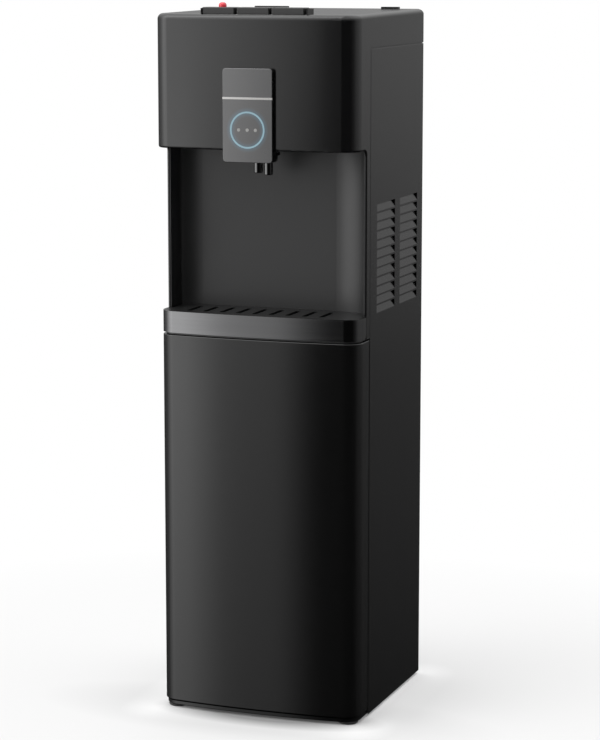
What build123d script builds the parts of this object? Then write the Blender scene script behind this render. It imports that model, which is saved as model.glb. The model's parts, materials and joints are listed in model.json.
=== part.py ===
from build123d import *
import os
from math import asin, cos, sin, sqrt

# Floor-standing bottom-loading water dispenser, in millimetres.
# +Z is up, the front faces -Y, +X is the viewer's right, and the origin is on the floor.
# The pieces are drawn first, and then moved by MIDDLE_Y and FLOOR_Z so that the origin is on the floor
# under the middle of the overall box.

# Overall
WIDTH = 310.0
HALF = WIDTH / 2
BACK = 159.8
REAR = 175.5
SEAM_Y = BACK - 249.3
SEAM_GAP = 1.2
HEAD_FRONT = BACK - 321.3
DOOR_FRONT = BACK - 309.3
PANEL_FRONT = HEAD_FRONT - 9.0
MIDDLE_Y = (PANEL_FRONT + REAR) / 2
ARC_R = 1300.0
CORNER_R = 24.5
EDGE_R = 8.0
LIP_R = 3.2
WALL = 2.5
SHEET = 1.0
RUN_GAP = 0.05

# Levels
FLOOR_Z = 6.0
FOOT_H = 10.5
FOOT_R = 15.0
FOOT_X = 135.0
FOOT_Y = (-122.5, 118.0)
STUD_R = 4.0
STUD_TOP = 13.0
PLINTH_TOP = 16.0
RIM_TOP = 36.0
DOOR_BOTTOM = 18.0
DOOR_TOP = 572.8
BAND_BOTTOM = 576.3
BAND_TOP = 608.0
HEAD_BOTTOM = 847.7
SIDE_TOP = 991.6
TOP_FRONT = 1040.5
TOP_BACK = 1043.0
KEY_TOP = 1050.0
LOCK_TOP = 1056.8
DIVIDER_Z = 556.0
TANK_SHELF_Z = 853.0
SHELF_T = 2.0
SHELF_BACK = BACK - 5.0
SHELF_FLANGE = 14.0
COVER_Z = (853.0, 855.5)

# Dispensing niche
NICHE_HALF = 150.0
NICHE_FRONT = BACK - 263.8
NICHE_BACK = BACK - 217.8
NICHE_FLAT = (-118.6, 92.5)
NICHE_CURVE_R = 80.0
NICHE_CORNER_R = 6.0
NICHE_WALL = 1.2
NICHE_FLOOR_T = 2.4
LEG_FRONT = NICHE_FRONT - 1.0
LEG_T = 3.2
LEG_EDGE_R = 2.2
GUSSET_R = 8.0

# Side louvres
LOUVRE_ROWS = 12
LOUVRE_Z0 = 608.0
LOUVRE_PITCH = 13.5
LOUVRE_H = 11.0
LOUVRE_DEPTH = 4.0
LOUVRE_COLUMNS = ((BACK - 218.3, BACK - 134.3), (BACK - 110.3, BACK - 26.3))

# Control panel
PANEL_MID = -3.0
PANEL_HALF = 37.9
PANEL_Z = (831.4, 965.0)
PANEL_CORNER_R = 5.0
FACE_T = 2.0
HOUSING_WALL = 2.4
HOUSING_BACK = HEAD_FRONT + 13.5
INLAY_PROUD = 0.3
INLAY_T = 1.2
TRIM_Z = 922.6
TRIM_H = 3.0
RING_Z = 877.8
RING_R = 26.3
RING_W = 2.4
LENS_R = 2.4
LENS_X = (PANEL_MID - 13.0, PANEL_MID, PANEL_MID + 12.5)
WINDOW_HALF = 30.0
WINDOW_Z = (866.0, 952.0)

# Nozzles
NOZZLE_Y = BACK - 274.3
NOZZLE_R = 6.5
NOZZLE_BORE_R = 4.0
NOZZLES = ((-7.6, 812.5), (8.0, 810.0))

# Keys
KEY_PITCH = 52.9
KEY_MID = -2.9
KEY_W = 49.4
KEY_Y = (-147.3, -125.0)
KEY_BOTTOM = 1040.0
KEY_TRAVEL = 4.0
BANK_X = (-82.4, 80.6)
BANK_Y = (-150.0, -122.0)
BANK_CORNER_R = 2.0
BANK_TOP = 1048.6
BANK_WELL_X = (-81.0, 79.0)
KEY_GAP = 0.5
STEM_R = 4.0
BOARD_Z = (1010.0, 1012.0)
SWITCH_TOP = 1017.5
STEM_BOTTOM = SWITCH_TOP + KEY_TRAVEL + 0.5
SPRING_R = (7.5, 8.8)
LOCK_XY = (-53.1, -136.2)
LOCK_R = 5.6
LOCK_TRAVEL = 3.0

# Drip tray
BAND_T = 2.8
TRAY_GAP = 1.5
TRAY_WALL = 2.0
GRILLE_T = 2.4
GRILLE_GAP = 0.4
SLOT_COUNT = 9
SLOT_MID_X = -10.0
SLOT_PITCH = 25.7
SLOT_W = 8.0
SLOT_Y = (BACK - 287.8, BACK - 234.3)

# Door
DOOR_BACK = SEAM_Y - 2.5
PAN_HALF = 141.0
PAN_FRONT = -131.0
PAN_Z = (34.0, 556.0)
PIVOT = (-146.0, -116.0)
PIN_R = 3.0
CATCH_Z = (280.0, 320.0)

# Bottle bay
BAY_HALF = 147.0
BAY_BACK = 144.0
BAY_FRONT = -60.0
BAY_TOP = 552.0
PROBE = (121.0, 117.0)
HANGER_Z = (498.0, 504.0)
PROBE_CAP_R = 20.0
PROBE_CAP_H = 12.0
PROBE_NECK_R = 9.8
PROBE_NECK_H = 14.0
PROBE_TUBE_R = 6.0
PROBE_BORE_R = 3.0
PROBE_STUB_R = 5.0
PROBE_FOOT_R = 9.0
PROBE_FOOT_Z = (52.0, 74.0)
HOSE_R = 7.0
HOSE_TOP = 575.0

# Tanks
TANK_T = 1.2
COLD_XY = (-58.0, 55.0)
COLD_R = 64.0
COLD_Z = (868.0, 1006.0)
COLD_PORT_X = -20.0
FOAM_R = (72.0, 90.0)
FOAM_TOP = 1018.0
EVAPORATOR_Z = (885.0, 985.0)
HOT_XY = (92.0, 60.0)
HOT_R = 42.0
HOT_Z = (862.0, 1000.0)
HOT_PORT_X = 75.0
JACKET_R = (44.6, 54.0)
JACKET_TOP = 1008.0
HEATER_Z = (905.0, 955.0)

# Refrigeration
COMPRESSOR_XY = (-35.0, 50.0)
CAN_R = 66.0
CAN_T = 5.0
CAN_Z = (574.0, 742.0)
CAN_EDGE_R = 26.0
SEAM_Z = (655.0, 661.0)
STUB_R = (2.5, 4.0)
STUB_OUT = 20.0
FOOT_PLATE = (78.0, 52.0)
FOOT_PLATE_T = 3.0
GROMMET_PLACE = (64.0, 38.0)
GROMMET_R = 5.0
TUBE_R = 2.5
WIRE_R = 0.8
CONDENSER_Y = REAR - 2 * WIRE_R - TUBE_R
CONDENSER_HALF = 118.0
CONDENSER_Z0 = 132.0
CONDENSER_PITCH = 44.0
CONDENSER_RUNS = 13
WIRE_COUNT = 19
WIRE_PITCH = 11.5
BRACKET_X = 60.0

# Water lines
LINE_R = 4.0
LINE_Z = 888.0
VALVE_X = 21.0
VALVE_Z = (872.0, 904.0)
COIL_R = 13.0
COIL_TOP = 944.0
DRAIN_Z = 826.0
PUMP_OUT = (72.0, 95.0)
PUMP_Z = (575.5, 612.0)
PUMP_FEET_TOP = 563.0
MOTOR_R = 17.0
MOTOR_Z = 594.0

# Control box
CONTROL_X = (66.0, 144.0)
CONTROL_Y = (-34.0, 14.0)
CONTROL_TOP = 700.0
CONTROL_WALL = 2.0
BOARD_Y = (-26.0, -24.4)

# Back panel
BACK_T = 1.0
BACK_Y = BACK - 1.5
SCREW_X = 148.0
SCREW_Z = (40.0, 240.0, 440.0, 640.0, 840.0, 975.0)
SCREW_R = 1.6
VENT_ROWS = 7
VENT_X = 52.0
VENT_HALF = 40.0
VENT_Z0 = 705.0
VENT_PITCH = 12.0
VENT_H = 5.0
SWITCH_X = (-104.0, -74.0)
SWITCH_Z = 826.0
ROCKER_R = 8.5
ROCKER_TILT = 8.0
GLAND = (-120.0, 70.0)
GLAND_R = 9.0
SPOUT_R = 8.0
CAP_R = 12.0
CAP_Y = (BACK_Y + 3.0, BACK_Y + 17.0)
CAP_RIBS = 12

# Tabs at the rear edge of the top
CLIPS_X = ((-114.0, -61.5), (91.0, 117.5))
CLIP_RISE = 2.5

# Overshoot of a cutting shape past the piece that it cuts
EXTRA = 9.0


def block(x0, x1, y0, y1, z0, z1):
    """Box between two corners."""
    centre = Pos((x0 + x1) / 2, (y0 + y1) / 2, (z0 + z1) / 2)
    return centre * Box(x1 - x0, y1 - y0, z1 - z0)


def post(x, y, z0, z1, r):
    """Round bar standing up."""
    return Pos(x, y, (z0 + z1) / 2) * Cylinder(r, z1 - z0)


def bar_x(x0, x1, y, z, r):
    """Round bar along X."""
    return Pos((x0 + x1) / 2, y, z) * Rot(0, 90, 0) * Cylinder(r, x1 - x0)


def bar_y(x, y0, y1, z, r):
    """Round bar along Y."""
    return Pos(x, (y0 + y1) / 2, z) * Rot(90, 0, 0) * Cylinder(r, y1 - y0)


def plate_y(x0, x1, z0, z1, y0, y1, r):
    """Upright plate with rounded corners, between two depths."""
    face = Rot(90, 0, 0) * RectangleRounded(x1 - x0, z1 - z0, r)
    face = Pos((x0 + x1) / 2, y0, (z0 + z1) / 2) * face
    return extrude(face, amount=y1 - y0, dir=(0, 1, 0))


def slab(face, z0, z1):
    """Plan outline raised between two levels."""
    return extrude(Pos(0, 0, z0) * face, amount=z1 - z0, dir=(0, 0, 1))


def pipe(points, bend, r):
    """Round tube along straight runs joined by arcs."""
    path = FilletPolyline(*points, radius=bend)
    section = Plane(origin=path @ 0, z_dir=path % 0) * Circle(r)
    return sweep(section, path=path)


def group(pieces):
    """Separate solids that share one node."""
    return Compound([piece.solid() for piece in pieces])


def both_sides(piece):
    """A piece and its mirror image in X."""
    return piece + mirror(piece, about=Plane.YZ)


def front_outline(half, front, back, corner=CORNER_R):
    """Plan with straight sides, a bowed front and two rounded front corners."""
    edge_y = front + ARC_R - sqrt(ARC_R**2 - half**2)
    sides = Polyline((half, edge_y), (half, back), (-half, back), (-half, edge_y))
    bow = ThreePointArc((-half, edge_y), (0, front), (half, edge_y))
    face = make_face(sides.edges() + bow.edges())
    return fillet(face.vertices().sort_by(Axis.Y)[:2], corner)


def niche_outline(front, inset):
    """Plan of the niche: open front, and a flat back wall that curves forward to the side walls."""
    half = NICHE_HALF - inset
    back = NICHE_BACK - inset
    curve = NICHE_CURVE_R - inset
    left, right = NICHE_FLAT
    left_turn = asin((half + left) / curve)
    right_turn = asin((half - right) / curve)

    def bend(flat, turn):
        return flat + curve * sin(turn), back - curve + curve * cos(turn)

    left_arc = ThreePointArc((left, back), bend(left, -left_turn / 2), bend(left, -left_turn))
    walls = Polyline(bend(left, -left_turn), (-half, front), (half, front), bend(right, right_turn))
    right_arc = ThreePointArc(bend(right, right_turn), bend(right, right_turn / 2), (right, back))
    flat_wall = Line((right, back), (left, back))
    face = make_face(left_arc.edges() + walls.edges() + right_arc.edges() + flat_wall.edges())
    corners = face.vertices().filter_by(lambda v: abs(v.X) > half - 0.1 and v.Y > front + 0.1)
    return fillet(corners, NICHE_CORNER_R)


def tray_outline(inset):
    """Plan of the drip tray: inside the band in front, inside the niche behind."""
    skin = BAND_T + 0.3 + inset
    step = LEG_FRONT - 0.6 - inset
    front = front_outline(HALF - skin, DOOR_FRONT + skin, step, CORNER_R - skin)
    return front + niche_outline(step - EXTRA, TRAY_GAP + inset)


def head_solid(inset, bottom):
    """Outer form of the head, drawn in by an inset, with its top sloping up to the rear."""
    face = front_outline(HALF - inset, HEAD_FRONT + inset, BACK - inset, CORNER_R - inset)
    solid = slab(face, bottom, TOP_BACK + EXTRA)
    rise = (TOP_BACK - TOP_FRONT) / (BACK - HEAD_FRONT)
    top = Plane(origin=(0, HEAD_FRONT, TOP_FRONT - inset), z_dir=(0, -rise, 1))
    solid = split(solid, bisect_by=top, keep=Keep.BOTTOM)
    rim = solid.faces().sort_by(Axis.Z)[-1].edges()
    return fillet(rim, EDGE_R - inset)


def base_tray():
    outline = front_outline(HALF - 2.0, DOOR_FRONT + 2.0, BACK - 3.0)
    tray = slab(outline, FOOT_H, PLINTH_TOP)
    rim = block(-HALF + 2, HALF - 2, BAY_FRONT, BACK - 3.0, PLINTH_TOP - 1, RIM_TOP)
    rim -= block(-HALF + 4.5, HALF - 4.5, SEAM_Y, BACK - 4.3, 0, RIM_TOP + 1)
    tray += rim
    tray -= block(-HALF + 8, HALF - 8, SEAM_Y + 8, BACK - 8, PLINTH_TOP - 2, RIM_TOP)
    tray -= [post(x, y, FLOOR_Z, STUD_TOP + 0.3, STUD_R + 0.2) for x, y in foot_places()]
    tray -= post(*PIVOT, FOOT_H + 1, RIM_TOP, PIN_R + RUN_GAP)
    lip = tray.faces().sort_by(Axis.Z)[0].edges().filter_by(lambda e: e.center().Y < SEAM_Y)
    return chamfer(lip, 1.0)


def foot_places():
    return [(x, y) for x in (-FOOT_X, FOOT_X) for y in FOOT_Y]


def feet():
    pads = []
    for x, y in foot_places():
        pad = post(x, y, FLOOR_Z, FOOT_H, FOOT_R)
        pad = chamfer(pad.edges(), 1.5)
        pads.append(pad + post(x, y, FOOT_H - 1, STUD_TOP, STUD_R))
    return group(pads)


def side_panel():
    """Right-hand side sheet with its rear flange and pressed-in louvres."""
    sheet = block(HALF - SHEET, HALF, SEAM_Y + SEAM_GAP / 2, BACK, FOOT_H, SIDE_TOP)
    rim = sheet.faces().sort_by(Axis.X)[-1].edges()
    sheet = fillet([rim.sort_by(Axis.Y)[0], rim.sort_by(Axis.Z)[-1]], SHEET - 0.1)
    sheet += block(HALF - 13, HALF - SHEET, BACK_Y - SHEET, BACK_Y, FOOT_H, SIDE_TOP - 8)
    cuts = []
    blades = []
    for row in range(LOUVRE_ROWS):
        z0 = LOUVRE_Z0 + row * LOUVRE_PITCH
        z1 = z0 + LOUVRE_H
        for y0, y1 in LOUVRE_COLUMNS:
            cuts.append(block(HALF - 2 * SHEET, HALF + SHEET, y0, y1, z0, z1))
            foot_x = (HALF, HALF - SHEET)
            tip_x = (HALF - LOUVRE_DEPTH - SHEET, HALF - LOUVRE_DEPTH)
            profile = Polyline(
                (foot_x[0], y0, z0), (tip_x[1], y0, z1), (tip_x[0], y0, z1),
                (foot_x[1], y0, z0 - 1), (foot_x[0], y0, z0 - 1), close=True,
            )
            blades.append(extrude(make_face(profile.edges()), amount=y1 - y0, dir=(0, 1, 0)))
    sheet = sheet - cuts + blades
    return sheet - screw_holes()


def screw_holes():
    return [bar_y(SCREW_X, BACK_Y - 8, BACK + 4, z, SCREW_R + 0.2) for z in SCREW_Z]


def back_panel():
    half = HALF - SHEET - 0.4
    sheet = block(-half, half, BACK_Y, BACK_Y + BACK_T, 12, SIDE_TOP - 0.6)
    through = (BACK - EXTRA, BACK + EXTRA)
    vents = []
    for row in range(VENT_ROWS):
        z = VENT_Z0 + VENT_PITCH * row
        for x in (-VENT_X, VENT_X):
            vent = plate_y(x - VENT_HALF, x + VENT_HALF, z, z + VENT_H, *through, VENT_H / 2 - 0.1)
            vents.append(vent)
    sheet -= vents
    sheet -= screw_holes()
    sheet -= [mirror(hole, about=Plane.YZ) for hole in screw_holes()]
    sheet -= switch_body_cut()
    sheet -= bar_y(GLAND[0], *through, GLAND[1], GLAND_R + 0.2)
    sheet -= bar_y(HOT_XY[0], *through, DRAIN_Z, SPOUT_R + 0.2)
    for x, z in condenser_ends():
        inward = 1.5 if x < 0 else -1.5
        sheet -= bar_y(x + inward, *through, z, TUBE_R + 2)
    return sheet


def back_screws():
    screws = []
    for z in SCREW_Z:
        for x in (-SCREW_X, SCREW_X):
            head = bar_y(x, BACK_Y + BACK_T, BACK_Y + BACK_T + 2.2, z, 3.6)
            head -= block(x - 3, x + 3, BACK + 1, BACK + 4, z - 0.5, z + 0.5)
            head -= block(x - 0.5, x + 0.5, BACK + 1, BACK + 4, z - 3, z + 3)
            screws.append(head + bar_y(x, BACK_Y - 2.8, BACK_Y + BACK_T, z, SCREW_R))
    return group(screws)


def front_frame():
    """Hidden portal that carries the door, the niche and the shelves."""
    web_x = (HALF - 3.6, HALF - SHEET - 0.4)
    pillar = block(*web_x, SEAM_Y, -62, PLINTH_TOP, HEAD_BOTTOM)
    pillar += block(140, web_x[0], SEAM_Y, SEAM_Y + 2.6, PLINTH_TOP, DOOR_TOP)
    beam = block(-140, 140, SEAM_Y, SEAM_Y + 5, DIVIDER_Z + SHELF_T, DOOR_TOP)
    return both_sides(pillar) + beam


def head_shell():
    outer = head_solid(0, HEAD_BOTTOM)
    outer = fillet(outer.faces().sort_by(Axis.Z)[0].edges(), LIP_R)
    shell = outer - head_solid(WALL, HEAD_BOTTOM - EXTRA)
    sheets = (SEAM_Y - SEAM_GAP / 2, BACK + EXTRA, HEAD_BOTTOM - EXTRA, SIDE_TOP + SEAM_GAP)
    shell -= block(-HALF - EXTRA, HALF + EXTRA, *sheets)
    seam = shell.edges().filter_by(Axis.Y).filter_by(lambda e: abs(e.center().X) > HALF - 0.1)
    seam = seam.filter_by(lambda e: e.center().Z < SIDE_TOP + 2 and e.center().Y > SEAM_Y)
    shell = chamfer(seam, SEAM_GAP / 2)
    shell += both_sides(head_leg())
    shell += head_skirt()
    shell -= cable_window()
    return shell - key_well(0.3)


def head_leg():
    """Strip of the head beside the niche, with a curved gusset and a rounded outer edge."""
    x0 = HALF - LEG_T
    rear = SEAM_Y - SEAM_GAP / 2
    low = BAND_BOTTOM - 0.6
    high = HEAD_BOTTOM + LIP_R
    tip = LEG_FRONT - GUSSET_R
    bend_z = HEAD_BOTTOM - GUSSET_R
    leg = block(x0, HALF, LEG_FRONT, rear, low, high)
    gusset = block(x0, HALF, tip, LEG_FRONT, bend_z, high)
    leg += gusset - bar_x(x0 - EXTRA, HALF + EXTRA, tip, bend_z, GUSSET_R)
    outside = leg.faces().sort_by(Axis.X)[-1].edges()
    front = outside.filter_by(lambda e: e.center().Y < LEG_FRONT + 0.1 and e.center().Z < HEAD_BOTTOM - 0.1)
    return fillet(front, LEG_EDGE_R)


def head_skirt():
    """Thin lip of the head that laps behind the tops of the side and back sheets."""
    reach = HALF - SHEET - 0.3
    levels = (SIDE_TOP - 6, SIDE_TOP + 2)
    rear = block(-reach, reach, BACK - WALL, BACK_Y - 0.2, *levels)
    return both_sides(block(HALF - WALL, reach, SEAM_Y, BACK_Y - 0.2, *levels)) + rear


def key_well(gap):
    """Space in the top that the keys travel in."""
    x0, x1 = BANK_WELL_X
    y0, y1 = KEY_Y
    return block(x0 - gap, x1 + gap, y0 - KEY_GAP - gap, y1 + KEY_GAP + gap, TOP_FRONT - EXTRA, KEY_TOP + EXTRA)


def head_underside():
    cover = slab(front_outline(HALF - 4.2, HEAD_FRONT + 2.8, -40, CORNER_R - 2.8), *COVER_Z)
    return cover - block(-24, 24, NOZZLE_Y - 20, NOZZLE_Y + 20, COVER_Z[0] - EXTRA, COVER_Z[1] + EXTRA)


def niche_liner():
    outer = niche_outline(NICHE_FRONT, -NICHE_WALL)
    inner = niche_outline(NICHE_FRONT - EXTRA, 0)
    floor_z = BAND_BOTTOM - 0.4
    liner = slab(outer, floor_z - NICHE_FLOOR_T, COVER_Z[0] - 0.4)
    liner -= slab(inner, floor_z, COVER_Z[0] + EXTRA)
    floor = front_outline(HALF - 4.5, DOOR_FRONT + 4, NICHE_FRONT + 9, CORNER_R - 4)
    liner += slab(floor, floor_z - NICHE_FLOOR_T, floor_z)
    return liner - post(*PIVOT, 500, 600, PIN_R + RUN_GAP)


def divider_shelf():
    half = HALF - 4.0
    shelf = block(-half, half, SEAM_Y + 6, SHELF_BACK, DIVIDER_Z, DIVIDER_Z + SHELF_T)
    shelf += both_sides(block(half - 1.5, half, -55, SHELF_BACK, DIVIDER_Z, DIVIDER_Z + SHELF_FLANGE))
    return shelf - post(*PROBE, 500, 600, 9)


def tank_shelf():
    half = HALF - 4.0
    shelf = block(-half, half, -38, SHELF_BACK, TANK_SHELF_Z, TANK_SHELF_Z + SHELF_T)
    flange_z = TANK_SHELF_Z - SHELF_FLANGE
    shelf += both_sides(block(half - 1.5, half, -38, SHELF_BACK, flange_z, TANK_SHELF_Z))
    shelf -= post(*HOT_XY, 800, 900, LINE_R + 2)
    return shelf - post(COLD_PORT_X, PUMP_OUT[1], 800, 900, LINE_R + 2)


def bay_liner():
    """U-shaped lining of the bottle bay, with the hook that the probe hangs on."""
    skin = 2.0
    z0 = PLINTH_TOP + 0.2
    liner = block(-BAY_HALF - skin, BAY_HALF + skin, BAY_FRONT, BAY_BACK + skin, z0, BAY_TOP)
    liner -= block(-BAY_HALF, BAY_HALF, BAY_FRONT - 1, BAY_BACK, 0, BAY_TOP + 1)
    x, y = PROBE
    mouth = PROBE_NECK_R + 0.7
    through = (HANGER_Z[0] - EXTRA, HANGER_Z[1] + EXTRA)
    hook = block(x - 18, x + 18, y - 16, BAY_BACK, *HANGER_Z)
    hook -= post(x, y, *through, mouth)
    hook -= block(x - mouth, x + mouth, y - 30, y, *through)
    return liner + hook


def suction_probe():
    """Bottle cap with its long suction tube, hung on the hook by its neck."""
    x, y = PROBE
    neck_z = HANGER_Z[0] - PROBE_NECK_H
    cap_z = HANGER_Z[1] + PROBE_CAP_H
    foot_z = PROBE_FOOT_Z[0]
    cap = post(x, y, HANGER_Z[1], cap_z, PROBE_CAP_R)
    cap = chamfer(cap.edges().group_by(Axis.Z)[-1], 3)
    cap += post(x, y, neck_z, HANGER_Z[1], PROBE_NECK_R)
    cap += post(x, y, cap_z, cap_z + 12, PROBE_STUB_R)
    cap += post(x, y, foot_z + 6, neck_z, PROBE_TUBE_R)
    cap += post(x, y, *PROBE_FOOT_Z, PROBE_FOOT_R)
    cap -= post(x, y, foot_z - EXTRA, cap_z + 30, PROBE_BORE_R)
    notch = block(-12, 12, -2, 2, foot_z - 2, foot_z + 8)
    return cap - [Pos(x, y, 0) * notch, Pos(x, y, 0) * Rot(0, 0, 90) * notch]


def suction_hose():
    low = HANGER_Z[1] + PROBE_CAP_H
    hose = post(*PROBE, low + 1, HOSE_TOP, HOSE_R)
    return hose - post(*PROBE, low, HOSE_TOP + 1, PROBE_STUB_R + RUN_GAP)


def water_pump():
    """Small diaphragm pump, with its inlet over the probe."""
    x, y = PROBE
    pump = block(x - 24, x + 24, y - 26, y + 22, *PUMP_Z)
    pump = fillet(pump.edges().filter_by(Axis.Z), 6)
    pump += bar_x(x - 92, x - 24, y - 2, MOTOR_Z, MOTOR_R)
    pump += post(x, y, PUMP_FEET_TOP, PUMP_Z[0], PROBE_STUB_R)
    pump += pump_saddle(x - 60, y - 2)
    pump += block(PUMP_OUT[0] - 6, PUMP_OUT[0] + 6, PUMP_OUT[1] - 6, y - 2, PUMP_Z[1] - 16, PUMP_Z[1] - 4)
    return pump + post(*PUMP_OUT, PUMP_Z[1] - 6, PUMP_Z[1] + 10, 6)


def pump_saddle(x, y):
    """Saddle that carries the pump's motor on the shelf."""
    saddle = block(x - 6, x + 6, y - 22, y + 22, DIVIDER_Z + SHELF_T, PUMP_FEET_TOP)
    return saddle + block(x - 6, x + 6, y - 8, y + 8, PUMP_FEET_TOP, MOTOR_Z - MOTOR_R + 3)


def cold_tank_body():
    return fillet(post(*COLD_XY, *COLD_Z, COLD_R).edges(), 12)


def cold_tank():
    """Hollow steel tank with the ports of its two lines."""
    x, y = COLD_XY
    hollow = post(x, y, COLD_Z[0] + TANK_T, COLD_Z[1] - TANK_T, COLD_R - TANK_T)
    tank = cold_tank_body() - fillet(hollow.edges(), 12 - TANK_T)
    tank -= post(COLD_PORT_X, PUMP_OUT[1], COLD_Z[0] - 9, COLD_Z[0] + 30, LINE_R - 1)
    return tank - bar_y(-VALVE_X, -60, y, LINE_Z, LINE_R - 1)


def evaporator():
    ring = post(*COLD_XY, *EVAPORATOR_Z, COLD_R + 7)
    ring -= post(*COLD_XY, *COLD_Z, COLD_R + 0.3)
    return ring - bar_y(-VALVE_X, -100, 60, LINE_Z, LINE_R + 0.5)


def cold_tank_foam():
    foam = post(*COLD_XY, TANK_SHELF_Z + SHELF_T, FOAM_TOP, FOAM_R[1])
    foam -= post(*COLD_XY, COLD_Z[0] - 0.5, COLD_Z[1] + 0.5, FOAM_R[0])
    foam -= bar_y(-VALVE_X, -100, 60, LINE_Z, LINE_R + 0.5)
    return foam - post(COLD_PORT_X, PUMP_OUT[1], 850, 900, LINE_R + 0.5)


def hot_tank_body():
    return fillet(post(*HOT_XY, *HOT_Z, HOT_R).edges(), 9)


def hot_tank():
    """Hollow steel tank with a drain port below and an outlet in front."""
    x, y = HOT_XY
    hollow = post(x, y, HOT_Z[0] + TANK_T, HOT_Z[1] - TANK_T, HOT_R - TANK_T)
    tank = hot_tank_body() - fillet(hollow.edges(), 9 - TANK_T)
    tank -= post(x, y, HOT_Z[0] - 9, HOT_Z[0] + 30, LINE_R - 1)
    return tank - bar_y(HOT_PORT_X, -60, y, LINE_Z, LINE_R - 1)


def heater_band():
    band = post(*HOT_XY, *HEATER_Z, HOT_R + 2.2)
    return band - post(*HOT_XY, *HOT_Z, HOT_R + 0.2)


def hot_tank_jacket():
    jacket = post(*HOT_XY, TANK_SHELF_Z + SHELF_T, JACKET_TOP, JACKET_R[1])
    jacket -= post(*HOT_XY, HOT_Z[0] - 0.5, HOT_Z[1] + 0.5, JACKET_R[0])
    jacket -= post(*HOT_XY, 850, 870, LINE_R + 0.5)
    return jacket - bar_y(HOT_PORT_X, -60, 60, LINE_Z, LINE_R + 0.5)


def water_lines():
    """Pump to cold tank, cold tank to valve, hot tank to valve, and hot tank to drain."""
    x, y = PUMP_OUT
    turn_z = 815
    feed = [(x, y, PUMP_Z[1] + 10), (x, y, turn_z), (COLD_PORT_X, y, turn_z), (COLD_PORT_X, y, COLD_Z[0])]
    cold = bar_y(-VALVE_X, NOZZLE_Y + 15, 20, LINE_Z, LINE_R) - cold_tank_body()
    hot = [(HOT_PORT_X, 45, LINE_Z), (HOT_PORT_X, NOZZLE_Y, LINE_Z), (VALVE_X + 14, NOZZLE_Y, LINE_Z)]
    drain = [(*HOT_XY, HOT_Z[0]), (*HOT_XY, DRAIN_Z), (HOT_XY[0], BACK - 12, DRAIN_Z)]
    bend = 20
    hot_pipe = pipe(hot, bend, LINE_R) - hot_tank_body()
    return group([pipe(feed, bend, LINE_R), cold, hot_pipe, pipe(drain, bend, LINE_R)])


def dispense_valves():
    valves = []
    for x in (-VALVE_X, VALVE_X):
        y = NOZZLE_Y
        valve = block(x - 14, x + 14, y - 15, y + 15, *VALVE_Z)
        valve = fillet(valve.edges().filter_by(Axis.Z), 4)
        valve += post(x, y, VALVE_Z[1], COIL_TOP, COIL_R)
        valves.append(valve + post(x, y, COIL_TOP, COIL_TOP + 6, COIL_R / 2))
    return group(valves)


def compressor():
    """Hermetic can on its foot plate, hollow, with a process stub on top."""
    x, y = COMPRESSOR_XY
    can = fillet(post(x, y, *CAN_Z, CAN_R).edges(), CAN_EDGE_R)
    can += post(x, y, *SEAM_Z, CAN_R + 3)
    can += post(x + STUB_OUT, y + STUB_OUT, CAN_Z[1] - 6, CAN_Z[1] + 16, STUB_R[1])
    hollow = post(x, y, CAN_Z[0] + CAN_T, CAN_Z[1] - CAN_T, CAN_R - CAN_T)
    can -= fillet(hollow.edges(), CAN_EDGE_R - CAN_T)
    can -= post(x + STUB_OUT, y + STUB_OUT, CAN_Z[1] - 20, CAN_Z[1] + 20, STUB_R[0])
    wide, deep = FOOT_PLATE
    foot = block(x - wide, x + wide, y - deep, y + deep, CAN_Z[0] - FOOT_PLATE_T, CAN_Z[0])
    can += fillet(foot.edges().filter_by(Axis.Z), 14)
    holes = (CAN_Z[0] - EXTRA, CAN_Z[0] + EXTRA, GROMMET_R + 0.2)
    return can - [post(px, py, *holes) for px, py in grommet_places()]


def grommet_places():
    x, y = COMPRESSOR_XY
    wide, deep = GROMMET_PLACE
    return [(x + dx, y + dy) for dx in (-wide, wide) for dy in (-deep, deep)]


def compressor_grommets():
    grommets = []
    for x, y in grommet_places():
        bush = post(x, y, DIVIDER_Z + SHELF_T, CAN_Z[0] - FOOT_PLATE_T, 2 * GROMMET_R)
        grommets.append(bush + post(x, y, CAN_Z[0] - 4, CAN_Z[0] + 4, GROMMET_R))
    return group(grommets)


def condenser_ends():
    last_side = 1 if CONDENSER_RUNS % 2 else -1
    last_z = CONDENSER_Z0 + (CONDENSER_RUNS - 1) * CONDENSER_PITCH
    return [(-CONDENSER_HALF, CONDENSER_Z0), (last_side * CONDENSER_HALF, last_z)]


def condenser_tube():
    """One serpentine tube behind the back panel, with both ends led inside."""
    inside = BACK_Y - 10
    points = [(-CONDENSER_HALF, inside, CONDENSER_Z0)]
    for run in range(CONDENSER_RUNS):
        z = CONDENSER_Z0 + run * CONDENSER_PITCH
        side = -1 if run % 2 == 0 else 1
        points.append((side * CONDENSER_HALF, CONDENSER_Y, z))
        points.append((-side * CONDENSER_HALF, CONDENSER_Y, z))
    points.append((points[-1][0], inside, points[-1][2]))
    return pipe(points, CONDENSER_PITCH / 2 - 1, TUBE_R)


def condenser_wires():
    """Straight wires on both faces of the serpentine."""
    z0 = CONDENSER_Z0 - 20
    z1 = CONDENSER_Z0 + (CONDENSER_RUNS - 1) * CONDENSER_PITCH + 20
    reach = TUBE_R + WIRE_R
    wires = []
    for k in range(WIRE_COUNT):
        x = (k - (WIRE_COUNT - 1) / 2) * WIRE_PITCH
        wires.append(post(x, CONDENSER_Y + reach, z0, z1, WIRE_R))
        if k < WIRE_COUNT - 1:
            wires.append(post(x + WIRE_PITCH / 2, CONDENSER_Y - reach - 0.02, z0, z1, WIRE_R))
    return group(wires)


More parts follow.
